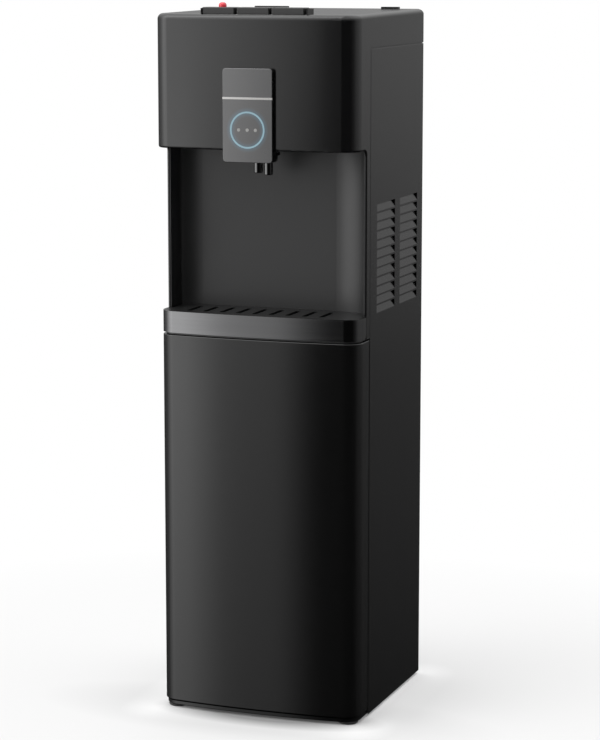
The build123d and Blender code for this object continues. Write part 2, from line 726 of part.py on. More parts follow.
def condenser_brackets():
    """Four stand-offs that hold the inner wires off the back panel."""
    z_list = (CONDENSER_Z0 - 14, CONDENSER_Z0 + (CONDENSER_RUNS - 1) * CONDENSER_PITCH + 14)
    tip = CONDENSER_Y - TUBE_R - 2 * WIRE_R - 0.1
    brackets = []
    for x in (-BRACKET_X, BRACKET_X):
        for z in z_list:
            bracket = block(x - 14, x + 14, BACK_Y + BACK_T, BACK_Y + BACK_T + 1.5, z - 8, z + 8)
            bracket += block(x - 7, x + 7, BACK_Y + BACK_T, tip, z - 4, z - 2)
            bracket += block(x - 7, x + 7, tip - 1.5, tip, z - 4, z + 6)
            brackets.append(bracket)
    return group(brackets)


def control_box():
    """Box for the mains and control electronics, open to the rear."""
    low = DIVIDER_Z + SHELF_T
    x0, x1 = CONTROL_X[0] + CONTROL_WALL, CONTROL_X[1] - CONTROL_WALL
    box = block(*CONTROL_X, *CONTROL_Y, low, CONTROL_TOP)
    inside = (CONTROL_Y[0] + CONTROL_WALL, CONTROL_Y[1] + EXTRA, low + CONTROL_WALL, CONTROL_TOP - CONTROL_WALL)
    return box - block(x0, x1, *inside)


def control_board():
    y0, y1 = BOARD_Y
    board = block(CONTROL_X[0] + 6, CONTROL_X[1] - 6, y0, y1, DIVIDER_Z + 10, CONTROL_TOP - 8)
    board += block(80, 108, y1, y1 + 26, 580, 612)
    board += [bar_y(x, y1, y1 + 18, 650, 8) for x in (86, 108, 128)]
    return board + block(114, 134, y1, y1 + 14, 580, 600)


def switch_body_cut():
    x0, x1 = SWITCH_X
    return block(x0 - 15, x1 + 15, BACK - EXTRA, BACK + EXTRA, SWITCH_Z - 14, SWITCH_Z + 14)


def switch_housing():
    x0, x1 = SWITCH_X
    body = block(x0 - 14.8, x1 + 14.8, BACK - 16, BACK_Y + BACK_T, SWITCH_Z - 13.8, SWITCH_Z + 13.8)
    flange = plate_y(
        x0 - 18, x1 + 18, SWITCH_Z - 17, SWITCH_Z + 17, BACK_Y + BACK_T, BACK_Y + BACK_T + 2, 3
    )
    housing = body + flange
    for x in SWITCH_X:
        housing -= bar_x(x - 9.5, x + 9.5, BACK - 2, SWITCH_Z, ROCKER_R + 0.4)
        housing -= block(x - 9.5, x + 9.5, BACK - 2, BACK + EXTRA, SWITCH_Z - 11, SWITCH_Z + 11)
    return housing


def rocker(x):
    """Rocker switch cap: a half-round body with two slanting faces."""
    pivot_y = BACK - 2
    body = bar_x(x - 9.2, x + 9.2, pivot_y, SWITCH_Z, ROCKER_R)
    for slant in (-14, 14):
        wedge = block(x - 20, x + 20, 4.6, 30, -30, 30)
        body -= Pos(0, pivot_y, SWITCH_Z) * Rot(slant + ROCKER_TILT, 0, 0) * wedge
    return body


def inlet_gland():
    x, z = GLAND
    gland = bar_y(x, BACK_Y - 2.5, BACK_Y + BACK_T, z, GLAND_R)
    gland += bar_y(x, BACK_Y + BACK_T, BACK_Y + BACK_T + 4, z, 13)
    return gland - bar_y(x, BACK - 20, BACK + 20, z, 4.2)


def drain_spout():
    x = HOT_XY[0]
    spout = bar_y(x, BACK - 12, CAP_Y[1] - 4, DRAIN_Z, SPOUT_R)
    spout += bar_y(x, BACK_Y + BACK_T, BACK_Y + BACK_T + 1.5, DRAIN_Z, 14)
    return spout - bar_y(x, BACK - 9, BACK + 30, DRAIN_Z, SPOUT_R - 3)


def drain_cap():
    x = HOT_XY[0]
    cap = bar_y(x, *CAP_Y, DRAIN_Z, CAP_R)
    cap -= bar_y(x, BACK_Y, CAP_Y[1] - 3, DRAIN_Z, SPOUT_R + RUN_GAP)
    ribs = []
    for k in range(CAP_RIBS):
        turn = Pos(x, 0, DRAIN_Z) * Rot(0, 360 / CAP_RIBS * k, 0)
        ribs.append(turn * bar_y(CAP_R, *CAP_Y, 0, 1.2))
    return cap + ribs


def bowed(front):
    """Everything behind a bowed front line at a depth."""
    return slab(front_outline(HALF, front, BACK), 0, TOP_BACK)


def panel_layer(shape, front, back):
    """Part of a shape between two bowed depths."""
    return (shape & bowed(front)) - bowed(back)


def panel_plate(inset, back, corner):
    """Rounded upright block in the outline of the control panel."""
    x0, x1 = PANEL_MID - PANEL_HALF + inset, PANEL_MID + PANEL_HALF - inset
    z0, z1 = PANEL_Z[0] + inset, PANEL_Z[1] - inset
    return plate_y(x0, x1, z0, z1, PANEL_FRONT - EXTRA, back, corner)


def cable_window():
    """Hole behind the control panel for its cable."""
    x0, x1 = PANEL_MID - WINDOW_HALF, PANEL_MID + WINDOW_HALF
    return block(x0, x1, HEAD_FRONT - EXTRA, HEAD_FRONT + EXTRA, *WINDOW_Z)


def face_back():
    return PANEL_FRONT + INLAY_PROUD + FACE_T


def inlay_back():
    return PANEL_FRONT + INLAY_T


def panel_housing():
    housing = panel_plate(0, HOUSING_BACK, PANEL_CORNER_R) & bowed(face_back())
    pocket = panel_plate(HOUSING_WALL, HEAD_FRONT - 1.5, PANEL_CORNER_R - HOUSING_WALL)
    return housing - head_solid(-RUN_GAP, HEAD_BOTTOM) - pocket - cable_window()


def panel_face():
    face = panel_layer(panel_plate(0, 0, PANEL_CORNER_R), PANEL_FRONT + INLAY_PROUD, face_back())
    face = fillet(face.faces().sort_by(Axis.Y)[0].edges(), 0.8)
    cuts = [ring_shape(RUN_GAP), trim_shape(RUN_GAP), *lens_shapes(RUN_GAP)]
    return face - [panel_layer(cut, PANEL_FRONT - EXTRA, inlay_back() + RUN_GAP) for cut in cuts]


def ring_shape(gap):
    ring = bar_y(PANEL_MID, PANEL_FRONT - EXTRA, 0, RING_Z, RING_R + gap)
    return ring - bar_y(PANEL_MID, PANEL_FRONT - EXTRA, 0, RING_Z, RING_R - RING_W - gap)


def trim_shape(gap):
    x0, x1 = PANEL_MID - PANEL_HALF - gap, PANEL_MID + PANEL_HALF + gap
    reach = TRIM_H / 2 + gap
    return block(x0, x1, PANEL_FRONT - EXTRA, 0, TRIM_Z - reach, TRIM_Z + reach)


def lens_shapes(gap):
    return [bar_y(x, PANEL_FRONT - EXTRA, 0, RING_Z, LENS_R + gap) for x in LENS_X]


def light_ring():
    return panel_layer(ring_shape(0), PANEL_FRONT, inlay_back())


def panel_trim():
    return panel_layer(trim_shape(0), PANEL_FRONT, inlay_back())


def indicator_lenses():
    return group([panel_layer(lens, PANEL_FRONT, inlay_back()) for lens in lens_shapes(0)])


def display_board():
    y0 = face_back() + 2
    board = block(PANEL_MID - 32, PANEL_MID + 32, y0, y0 + 1.6, PANEL_Z[0] + 10, PANEL_Z[1] - 7)
    return board + [bar_y(x, y0 - 1.2, y0, RING_Z, 2) for x in LENS_X]


def nozzle_block():
    block_body = block(-22, 22, NOZZLE_Y - 18, NOZZLE_Y + 18, 838, 856)
    block_body = fillet(block_body.edges().filter_by(Axis.Z), 8)
    block_body += block(-32, 32, NOZZLE_Y - 25, NOZZLE_Y + 25, 855.5, 859)
    for x, _ in NOZZLES:
        block_body -= post(x, NOZZLE_Y, 800, 900, NOZZLE_R + 0.05)
    return block_body


def nozzles():
    """Hot nozzle on the left, and the longer cold and room nozzle on the right."""
    tubes = []
    for x, bottom in NOZZLES:
        tube = post(x, NOZZLE_Y, bottom, 866, NOZZLE_R)
        tube = chamfer(tube.edges().group_by(Axis.Z)[0], 1.0)
        tubes.append(tube - post(x, NOZZLE_Y, bottom - 1, 870, NOZZLE_BORE_R))
    return group(tubes)


def key_bezel():
    """Frame at the ends and back of the keys, open in front."""
    centre = Pos((BANK_X[0] + BANK_X[1]) / 2, (BANK_Y[0] + BANK_Y[1]) / 2)
    outline = RectangleRounded(BANK_X[1] - BANK_X[0], BANK_Y[1] - BANK_Y[0], BANK_CORNER_R)
    frame = slab(centre * outline, TOP_FRONT - 2, BANK_TOP)
    frame -= block(*BANK_WELL_X, BANK_Y[0] - EXTRA, KEY_Y[0] + 1, TOP_FRONT - EXTRA, KEY_TOP)
    return frame - key_well(0) - head_solid(-0.02, HEAD_BOTTOM)


def key_cap(centre_x):
    """Key with its stem down to the switch."""
    cap = block(centre_x - KEY_W / 2, centre_x + KEY_W / 2, *KEY_Y, KEY_BOTTOM, KEY_TOP)
    cap = fillet(cap.edges().filter_by(Axis.Z), 1.5)
    cap = fillet(cap.faces().sort_by(Axis.Z)[-1].edges(), 1.2)
    return cap + post(centre_x, key_centre_y(), STEM_BOTTOM, KEY_BOTTOM, STEM_R)


def key_centre_y():
    return (KEY_Y[0] + KEY_Y[1]) / 2


def key_centres():
    return [KEY_MID + k * KEY_PITCH for k in (-1, 0, 1)]


def hot_key():
    hole = post(*LOCK_XY, KEY_TOP - LOCK_TRAVEL - 1.5, KEY_TOP + EXTRA, LOCK_R + RUN_GAP)
    return key_cap(key_centres()[0]) - hole


def child_lock_button():
    button = post(*LOCK_XY, KEY_TOP - 1, LOCK_TOP, LOCK_R)
    return fillet(button.edges().group_by(Axis.Z)[-1], 4.5)


def key_springs():
    """Return springs of the three keys, as plain sleeves."""
    y = key_centre_y()
    sleeves = []
    for x in key_centres():
        sleeve = post(x, y, BOARD_Z[1], KEY_BOTTOM, SPRING_R[1])
        sleeves.append(sleeve - post(x, y, BOARD_Z[1] - 1, KEY_BOTTOM + 1, SPRING_R[0]))
    return group(sleeves)


def key_switch_board():
    board = block(-92, 92, KEY_Y[0], KEY_Y[1], *BOARD_Z)
    for x in key_centres():
        board += block(x - 5, x + 5, key_centre_y() - 3.5, key_centre_y() + 3.5, BOARD_Z[1], SWITCH_TOP)
    hangers = [post(x, key_centre_y(), BOARD_Z[1] - 1, TOP_FRONT + EXTRA, 4) for x in (-87, 87)]
    return board + [hanger & head_solid(WALL, HEAD_BOTTOM) for hanger in hangers]


def tray_band():
    outer = front_outline(HALF, DOOR_FRONT, LEG_FRONT - 0.6)
    inner = front_outline(HALF - BAND_T, DOOR_FRONT + BAND_T, LEG_FRONT + EXTRA, CORNER_R - BAND_T)
    band = slab(outer, BAND_BOTTOM, BAND_TOP) - slab(inner, BAND_BOTTOM - 1, BAND_TOP + 1)
    ends = band.edges().filter_by(Axis.X).filter_by(lambda e: e.center().Z < BAND_BOTTOM + 1)
    return fillet(ends, 8)


def drip_tray():
    tray = slab(tray_outline(0), BAND_BOTTOM + 0.2, BAND_TOP - GRILLE_T - 0.2)
    return tray - slab(tray_outline(TRAY_WALL), BAND_BOTTOM + 0.2 + TRAY_WALL, BAND_TOP)


def drip_grille():
    grille = slab(tray_outline(GRILLE_GAP), BAND_TOP - GRILLE_T, BAND_TOP)
    length = SLOT_Y[1] - SLOT_Y[0]
    slot = Rot(0, 0, 90) * SlotOverall(length, SLOT_W)
    slots = []
    for k in range(SLOT_COUNT):
        x = SLOT_MID_X + (k - (SLOT_COUNT - 1) / 2) * SLOT_PITCH
        slots.append(slab(Pos(x, (SLOT_Y[0] + SLOT_Y[1]) / 2) * slot, BAND_TOP - EXTRA, BAND_TOP + EXTRA))
    return grille - slots


def door_skin():
    skin = slab(front_outline(HALF, DOOR_FRONT, DOOR_BACK), DOOR_BOTTOM, DOOR_TOP)
    top_rim = skin.faces().sort_by(Axis.Z)[-1].edges().filter_by(lambda e: e.center().Y < DOOR_BACK - 1)
    low_rim = skin.faces().sort_by(Axis.Z)[0].edges().filter_by(lambda e: e.center().Y < DOOR_BACK - 1)
    skin = fillet(top_rim + low_rim, 1.2)
    cavity = front_outline(HALF - WALL, DOOR_FRONT + WALL, DOOR_BACK + EXTRA, CORNER_R - WALL)
    skin -= slab(cavity, DOOR_BOTTOM + WALL, DOOR_TOP - WALL)
    return skin - post(*PIVOT, 0, 600, PIN_R + RUN_GAP)


def door_inner():
    """Inner panel of the door, dished so that the bottle has room."""
    skin = 2.0
    half = HALF - WALL - 0.3
    flange = block(-half, half, DOOR_BACK - skin, DOOR_BACK, DOOR_BOTTOM + WALL + 0.3, DOOR_TOP - WALL - 0.3)
    dish = slab(front_outline(PAN_HALF, PAN_FRONT, DOOR_BACK, 16), *PAN_Z)
    hollow = front_outline(PAN_HALF - skin, PAN_FRONT + skin, DOOR_BACK + EXTRA, 14)
    return flange + dish - slab(hollow, PAN_Z[0] + skin, PAN_Z[1] - skin)


def hinge_pins():
    lower = post(*PIVOT, FOOT_H + 1, DOOR_BOTTOM + 12, PIN_R)
    upper = post(*PIVOT, DOOR_TOP - 12, BAND_BOTTOM - 0.4, PIN_R)
    return group([lower, upper])


def door_magnet():
    return block(142.5, 151.5, DOOR_BACK - 8, DOOR_BACK - 2.1, *CATCH_Z)


def rear_clips():
    """Two flat tabs along the rear edge of the top."""
    clips = []
    for x0, x1 in CLIPS_X:
        clip = block(x0, x1, BACK - 12, BACK - 1, TOP_BACK - 4, TOP_BACK + CLIP_RISE)
        clips.append(clip - head_solid(-0.02, SIDE_TOP))
    return group(clips)


NODES = {
    "base_tray": base_tray(),
    "feet": feet(),
    "left_side_panel": mirror(side_panel(), about=Plane.YZ),
    "right_side_panel": side_panel(),
    "back_panel": back_panel(),
    "back_screws": back_screws(),
    "front_frame": front_frame(),
    "head_shell": head_shell(),
    "head_underside": head_underside(),
    "niche_liner": niche_liner(),
    "divider_shelf": divider_shelf(),
    "tank_shelf": tank_shelf(),
    "bay_liner": bay_liner(),
    "suction_probe": suction_probe(),
    "suction_hose": suction_hose(),
    "water_pump": water_pump(),
    "water_lines": water_lines(),
    "cold_tank": cold_tank(),
    "evaporator": evaporator(),
    "cold_tank_foam": cold_tank_foam(),
    "hot_tank": hot_tank(),
    "heater_band": heater_band(),
    "hot_tank_jacket": hot_tank_jacket(),
    "dispense_valves": dispense_valves(),
    "compressor": compressor(),
    "compressor_grommets": compressor_grommets(),
    "condenser_tube": condenser_tube(),
    "condenser_wires": condenser_wires(),
    "condenser_brackets": condenser_brackets(),
    "control_box": control_box(),
    "control_board": control_board(),
    "switch_housing": switch_housing(),
    "hot_switch": rocker(SWITCH_X[0]),
    "cold_switch": rocker(SWITCH_X[1]),
    "inlet_gland": inlet_gland(),
    "drain_spout": drain_spout(),
    "drain_cap": drain_cap(),
    "panel_housing": panel_housing(),
    "panel_face": panel_face(),
    "light_ring": light_ring(),
    "panel_trim": panel_trim(),
    "indicator_lenses": indicator_lenses(),
    "display_board": display_board(),
    "nozzle_block": nozzle_block(),
    "nozzles": nozzles(),
    "key_bezel": key_bezel(),
    "hot_key": hot_key(),
    "room_key": key_cap(key_centres()[1]),
    "cold_key": key_cap(key_centres()[2]),
    "child_lock_button": child_lock_button(),
    "key_switch_board": key_switch_board(),
    "key_springs": key_springs(),
    "tray_band": tray_band(),
    "drip_tray": drip_tray(),
    "drip_grille": drip_grille(),
    "door_skin": door_skin(),
    "door_inner": door_inner(),
    "hinge_pins": hinge_pins(),
    "door_magnet": door_magnet(),
    "rear_clips": rear_clips(),
}

os.makedirs("parts", exist_ok=True)
for name, shape in NODES.items():
    export_step(Pos(0, -MIDDLE_Y, -FLOOR_Z) * shape, f"parts/{name}.step")
print(len(NODES), "nodes")
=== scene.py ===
import json
from math import radians

import bpy
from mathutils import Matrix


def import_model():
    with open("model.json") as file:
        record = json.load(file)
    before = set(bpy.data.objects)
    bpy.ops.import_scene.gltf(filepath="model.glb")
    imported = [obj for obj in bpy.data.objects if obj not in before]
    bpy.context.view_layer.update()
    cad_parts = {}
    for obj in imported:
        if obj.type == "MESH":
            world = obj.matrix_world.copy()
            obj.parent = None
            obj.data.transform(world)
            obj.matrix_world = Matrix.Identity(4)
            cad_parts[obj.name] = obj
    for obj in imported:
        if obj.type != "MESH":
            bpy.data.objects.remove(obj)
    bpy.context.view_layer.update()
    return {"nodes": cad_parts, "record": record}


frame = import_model()
nodes = frame["nodes"]

MM = 0.001
WHITE = (1.0, 1.0, 1.0, 1.0)

# Camera at the photograph's viewpoint, in metres and degrees
CAMERA_PLACE = (1.3034, -3.51786, 1.12252)
CAMERA_TURN = (80.57291, 0.0, 20.13449)
CAMERA_LENS = 122.6925
CAMERA_REACH = 100.0
SENSOR = 36.0

# Surround: brightness by compass direction, in degrees from the front towards the right,
# for level directions and for directions a little below the level
SURROUND_PEAK = 3.2
SURROUND_LEVEL = (
    (-180, 0.36), (-150, 0.28), (-113, 0.22), (-83, 1.10), (-57, 3.20), (-46, 3.00), (-36, 2.30),
    (-29, 1.85), (-21, 1.36), (-15.5, 0.98), (-12.5, 0.78), (-10.5, 0.48), (-8.5, 0.05), (-5, 0.02),
    (55, 0.03), (75, 0.17), (100, 0.55), (130, 0.60), (150, 0.38), (161, 0.34), (180, 0.36),
)
SURROUND_LOW = (
    (-180, 0.09), (-150, 0.06), (-113, 0.14), (-83, 0.48), (-55, 1.95), (-43, 2.75), (-35, 2.90),
    (-30, 1.78), (-26.5, 1.04), (-22, 0.88), (-17.5, 0.86), (-14.5, 0.36), (-11.8, 0.03), (-8, 0.01),
    (55, 0.01), (75, 0.05), (100, 0.18), (130, 0.18), (161, 0.105), (180, 0.09),
)

# Surround: the upward share of a direction where the level table ends, the low table starts,
# the light towards the foot is dimmed on the left and on the right, and steep light fades
LEVEL_SLOPE = -0.03
LOW_SLOPE = -0.16
FOOT_SLOPE = -0.30
FOOT_DIM = (0.55, 0.28)
FOOT_SPAN = (-0.2, 0.2)
STEEP = (-0.75, -0.35)
STEEP_SHARE = 0.1
OVERHEAD = 1.8

# Floor: size and distances from the foot in metres, tones, and the shares of plain white near the foot and
# at it; the white is dimmer near the foot, a painted shade
FLOOR_SIZE = 30.0
FLOOR_TONE = 0.86
FLOOR_ROUGH = 0.8
FLOOR_NEAR = 0.06
FLOOR_FAR = 0.75
FLOOR_WHITE = 0.64
FLOOR_SHARE = 0.60
FLOOR_TOUCH = 0.26

# Painted soft shadow on the floor in front of the foot: middle and half size in metres, and its tones by
# distance as a share of that size
SHADE_MIDDLE = (0.01, -0.13, 0.0)
SHADE_HALF = (0.185, 0.066, 1.0)
SHADE_FROM = 0.48
SHADE_TONE = 0.34
SHADE_END = 0.88
SHADE_REACH = 2.0

# Painted glow on the control panel, standing in for the light that the ring throws on it
RING_BAND = 2.4 * MM
RING_LIGHT = (0.10, 0.62, 1.0, 1.0)
HALO_REACH = 8 * MM
HALO_LEVEL = 0.06

# Fine detail of the materials: noise per metre, its detail, and how far tone, roughness and glow vary
MOTTLE_SCALE = 35.0
MOTTLE_DETAIL = 4.0
SHEEN_SCALE = 60.0
SHEEN_DETAIL = 3.0
SHEEN_VARIES = 0.03
LINE_DETAIL = 3.0
LINE_TONE_VARIES = 0.18
LINE_ROUGH_VARIES = 0.06
LINE_DEPTH = 0.006 * MM
GLOW_SCALE = 90.0
GLOW_TONE_VARIES = 0.08
GLOW_VARIES = 0.1
GLOW_ROUGH = 0.25


def node_box(name):
    """Lowest and highest corner of a node at rest, in metres."""
    axes = list(zip(*(vertex.co for vertex in nodes[name].data.vertices)))
    return [min(axis) for axis in axes], [max(axis) for axis in axes]


def make(tree, kind, **settings):
    """New node with its properties set."""
    node = tree.nodes.new("ShaderNode" + kind)
    for key, value in settings.items():
        setattr(node, key, value)
    return node


def wire(tree, source, target):
    """Link from a node's output socket to another node's input socket."""
    tree.links.new(source, target)


def math_node(tree, operation, first, second=None):
    """Math on sockets or plain numbers; returns the result socket."""
    node = make(tree, "Math", operation=operation)
    for socket, value in zip(node.inputs, (first, second)):
        if value is None:
            continue
        if isinstance(value, (int, float)):
            socket.default_value = value
        else:
            wire(tree, value, socket)
    return node.outputs[0]


def spread(tree, source, low, high, from_low=0.0, from_high=1.0, smooth=False):
    """Value mapped from one range to another."""
    node = make(tree, "MapRange", interpolation_type="SMOOTHSTEP" if smooth else "LINEAR")
    wire(tree, source, node.inputs["Value"])
    node.inputs["From Min"].default_value = from_low
    node.inputs["From Max"].default_value = from_high
    node.inputs["To Min"].default_value = low
    node.inputs["To Max"].default_value = high
    return node.outputs["Result"]


def object_point(tree, stretch=(1.0, 1.0, 1.0)):
    """Place on the object in metres, stretched along the axes."""
    place = make(tree, "TexCoord").outputs["Object"]
    if stretch == (1.0, 1.0, 1.0):
        return place
    node = make(tree, "Mapping")
    node.inputs["Scale"].default_value = stretch
    wire(tree, place, node.inputs["Vector"])
    return node.outputs["Vector"]


def noise(tree, point, scale, detail=2.0):
    """Noise value at a place."""
    node = make(tree, "TexNoise")
    wire(tree, point, node.inputs["Vector"])
    node.inputs["Scale"].default_value = scale
    node.inputs["Detail"].default_value = detail
    return node.outputs["Fac"]


def new_material(name):
    """New material with its node tree and its surface shader."""
    material = bpy.data.materials.new(name)
    material.use_nodes = True
    return material, material.node_tree, material.node_tree.nodes["Principled BSDF"]


def about(tree, source, middle, varies):
    """Noise value spread evenly about a middle value."""
    return spread(tree, source, middle - varies, middle + varies)


def tinted(tree, shader, colour, factor):
    """Base colour made lighter and darker by a factor socket."""
    node = make(tree, "Mix", data_type="RGBA", blend_type="MULTIPLY")
    node.inputs["Factor"].default_value = 1.0
    node.inputs["A"].default_value = (*colour, 1.0)
    wire(tree, factor, node.inputs["B"])
    wire(tree, node.outputs["Result"], shader.inputs["Base Color"])


def bumped(tree, shader, height, depth):
    """Fine relief from a height socket."""
    node = make(tree, "Bump")
    node.inputs["Strength"].default_value = 1.0
    node.inputs["Distance"].default_value = depth
    wire(tree, height, node.inputs["Height"])
    wire(tree, node.outputs["Normal"], shader.inputs["Normal"])


def moulded(name, colour, rough, grain=0.8 * MM, depth=0.005 * MM, mottle=0.07, metal=0.0):
    """Moulded or painted surface with a fine grain, slight mottling and uneven sheen."""
    material, tree, shader = new_material(name)
    point = object_point(tree)
    tone = noise(tree, point, MOTTLE_SCALE, MOTTLE_DETAIL)
    tinted(tree, shader, colour, about(tree, tone, 1.0, mottle))
    sheen = noise(tree, point, SHEEN_SCALE, SHEEN_DETAIL)
    wire(tree, about(tree, sheen, rough, SHEEN_VARIES), shader.inputs["Roughness"])
    bumped(tree, shader, noise(tree, point, 1 / grain), depth)
    shader.inputs["Metallic"].default_value = metal
    return material


def brushed(name, colour, rough, stretch):
    """Brushed metal with fine lines."""
    material, tree, shader = new_material(name)
    lines = noise(tree, object_point(tree, stretch), 1.0, LINE_DETAIL)
    tinted(tree, shader, colour, about(tree, lines, 1.0, LINE_TONE_VARIES))
    wire(tree, about(tree, lines, rough, LINE_ROUGH_VARIES), shader.inputs["Roughness"])
    bumped(tree, shader, lines, LINE_DEPTH)
    shader.inputs["Metallic"].default_value = 1.0
    return material


def panel_with_painted_glow(name, colour, rough):
    """Metallic paint with a painted glow that stands in for the faint light the ring throws on it."""
    low, high = node_box("light_ring")
    middle_x = (low[0] + high[0]) / 2
    middle_z = (low[2] + high[2]) / 2
    radius = (high[0] - low[0] - RING_BAND) / 2
    material = moulded(name, colour, rough, grain=0.5 * MM, depth=0.006 * MM, mottle=0.03, metal=1.0)
    tree = material.node_tree
    place = make(tree, "SeparateXYZ")
    wire(tree, object_point(tree), place.inputs[0])
    across = math_node(tree, "SUBTRACT", place.outputs[0], middle_x)
    up = math_node(tree, "SUBTRACT", place.outputs[2], middle_z)
    wide = math_node(tree, "MULTIPLY", across, across)
    squares = math_node(tree, "ADD", wide, math_node(tree, "MULTIPLY", up, up))
    off = math_node(tree, "SUBTRACT", math_node(tree, "SQRT", squares), radius)
    # painted glow: the panel's own emission in a band about the ring, standing in for the ring's light
    painted_halo = spread(tree, math_node(tree, "ABSOLUTE", off), HALO_LEVEL, 0.0, 0.0, HALO_REACH, smooth=True)
    shader = tree.nodes["Principled BSDF"]
    shader.inputs["Emission Color"].default_value = RING_LIGHT
    wire(tree, painted_halo, shader.inputs["Emission Strength"])
    return material


def glowing(name, colour, light, strength):
    """Lit plastic with a slightly uneven glow."""
    material, tree, shader = new_material(name)
    uneven = noise(tree, object_point(tree), GLOW_SCALE)
    tinted(tree, shader, colour, about(tree, uneven, 1.0, GLOW_TONE_VARIES))
    shader.inputs["Emission Color"].default_value = (*light, 1.0)
    glow = about(tree, uneven, strength, strength * GLOW_VARIES)
    wire(tree, glow, shader.inputs["Emission Strength"])
    shader.inputs["Roughness"].default_value = GLOW_ROUGH
    return material


def dress():
    """Materials for every node, by the slot that the record gives it."""
    made = {
        "black_plastic": moulded("black_plastic", (0.0022, 0.0022, 0.0023), 0.12),
        "niche_black": moulded("niche_black", (0.009, 0.009, 0.0092), 0.37, 0.9 * MM, 0.012 * MM),
        "door_black": moulded("door_black", (0.0022, 0.0022, 0.0022), 0.11),
        "black_paint": moulded("black_paint", (0.0022, 0.0022, 0.0022), 0.16, 0.6 * MM, 0.006 * MM),
        "frame_paint": moulded("frame_paint", (0.014, 0.014, 0.014), 0.40),
        "band_metal": brushed("band_metal", (0.134, 0.134, 0.136), 0.14, (4.0, 4.0, 1800.0)),
        "panel_grey": panel_with_painted_glow("panel_grey", (0.122, 0.122, 0.123), 0.26),
        "trim_metal": brushed("trim_metal", (0.42, 0.415, 0.405), 0.28, (4.0, 4.0, 3000.0)),
        "ring_glow": glowing("ring_glow", (0.06, 0.08, 0.09), (0.24, 0.42, 0.50), 0.62),
        "lens_glow": glowing("lens_glow", (0.12, 0.12, 0.117), (0.62, 0.60, 0.58), 0.17),
        "nozzle_chrome": brushed("nozzle_chrome", (0.10, 0.10, 0.10), 0.12, (900.0, 900.0, 8.0)),
        "key_grey": moulded("key_grey", (0.012, 0.012, 0.012), 0.36),
        "lock_red": moulded("lock_red", (0.55, 0.035, 0.05), 0.25),
        "rubber": moulded("rubber", (0.012, 0.012, 0.012), 0.60, 0.5 * MM, 0.03 * MM),
        "silicone": moulded("silicone", (0.70, 0.70, 0.67), 0.40),
        "stainless": brushed("stainless", (0.55, 0.55, 0.56), 0.28, (4.0, 4.0, 1500.0)),
        "zinc": moulded("zinc", (0.48, 0.48, 0.49), 0.42, 4 * MM, 0.02 * MM, mottle=0.12, metal=1.0),
        "condenser_black": moulded("condenser_black", (0.012, 0.012, 0.012), 0.36),
        "copper": brushed("copper", (0.70, 0.32, 0.18), 0.30, (600.0, 600.0, 30.0)),
        "foam": moulded("foam", (0.80, 0.79, 0.74), 0.85, 2.5 * MM, 0.3 * MM),
        "white_plastic": moulded("white_plastic", (0.68, 0.68, 0.66), 0.38),
        "grey_plastic": moulded("grey_plastic", (0.06, 0.06, 0.062), 0.42),
        "board_green": moulded("board_green", (0.02, 0.13, 0.05), 0.35),
        "magnet": moulded("magnet", (0.04, 0.04, 0.042), 0.55, 0.8 * MM, 0.04 * MM),
        "rocker_red": moulded("rocker_red", (0.42, 0.02, 0.02), 0.25),
        "rocker_green": moulded("rocker_green", (0.02, 0.22, 0.05), 0.25),
    }
    for row in frame["record"]["subparts"]:
        mesh = nodes[row["node"]].data
        mesh.materials.clear()
        mesh.materials.append(made[row["material_slot"]])


def around(tree, turn, table):
    """Brightness by compass direction, as a share of the peak."""
    ramp = make(tree, "ValToRGB")
    wire(tree, turn, ramp.inputs["Fac"])
    stops = ramp.color_ramp.elements
    while len(stops) < len(table):
        stops.new(0.5)
    for stop, (angle, level) in zip(stops, table):
        stop.position = (angle + 180) / 360
        tone = level / SURROUND_PEAK
        stop.color = (tone, tone, tone, 1.0)
    return ramp.outputs["Color"]


def surround_light(tree):
    """Strength of the studio light by direction: light on the left and overhead, dim towards the floor."""
    way = make(tree, "SeparateXYZ")
    wire(tree, make(tree, "TexCoord").outputs["Generated"], way.inputs[0])
    x, y, z = way.outputs
    heading = math_node(tree, "ARCTAN2", x, math_node(tree, "MULTIPLY", y, -1.0))
    turn = spread(tree, heading, 0.0, 1.0, radians(-180), radians(180))
    blend = make(tree, "Mix", data_type="FLOAT")
    wire(tree, spread(tree, z, 0.0, 1.0, LOW_SLOPE, LEVEL_SLOPE), blend.inputs["Factor"])
    wire(tree, around(tree, turn, SURROUND_LOW), blend.inputs["A"])
    wire(tree, around(tree, turn, SURROUND_LEVEL), blend.inputs["B"])
    sides = math_node(tree, "MULTIPLY", blend.outputs["Result"], SURROUND_PEAK)
    foot = spread(tree, x, *FOOT_DIM, *FOOT_SPAN)
    lift = spread(tree, z, 0.0, 1.0, FOOT_SLOPE, LOW_SLOPE)
    dim = make(tree, "Mix", data_type="FLOAT")
    wire(tree, lift, dim.inputs["Factor"])
    wire(tree, foot, dim.inputs["A"])
    dim.inputs["B"].default_value = 1.0
    sides = math_node(tree, "MULTIPLY", sides, dim.outputs["Result"])
    sides = math_node(tree, "MULTIPLY", sides, spread(tree, z, STEEP_SHARE, 1.0, *STEEP))
    above = spread(tree, z, 0.0, OVERHEAD, smooth=True)
    return math_node(tree, "ADD", sides, above)


def world():
    """Studio surround: white to the camera, and the studio light for everything else."""
    surround = bpy.data.worlds.new("studio")
    bpy.context.scene.world = surround
    surround.use_nodes = True
    tree = surround.node_tree
    background = tree.nodes["Background"]
    background.inputs["Color"].default_value = WHITE
    wire(tree, surround_light(tree), background.inputs["Strength"])
    white = make(tree, "Background")
    white.inputs["Color"].default_value = WHITE
    mix = make(tree, "MixShader")
    wire(tree, make(tree, "LightPath").outputs["Is Camera Ray"], mix.inputs["Fac"])
    wire(tree, background.outputs[0], mix.inputs[1])
    wire(tree, white.outputs[0], mix.inputs[2])
    wire(tree, mix.outputs[0], tree.nodes["World Output"].inputs["Surface"])


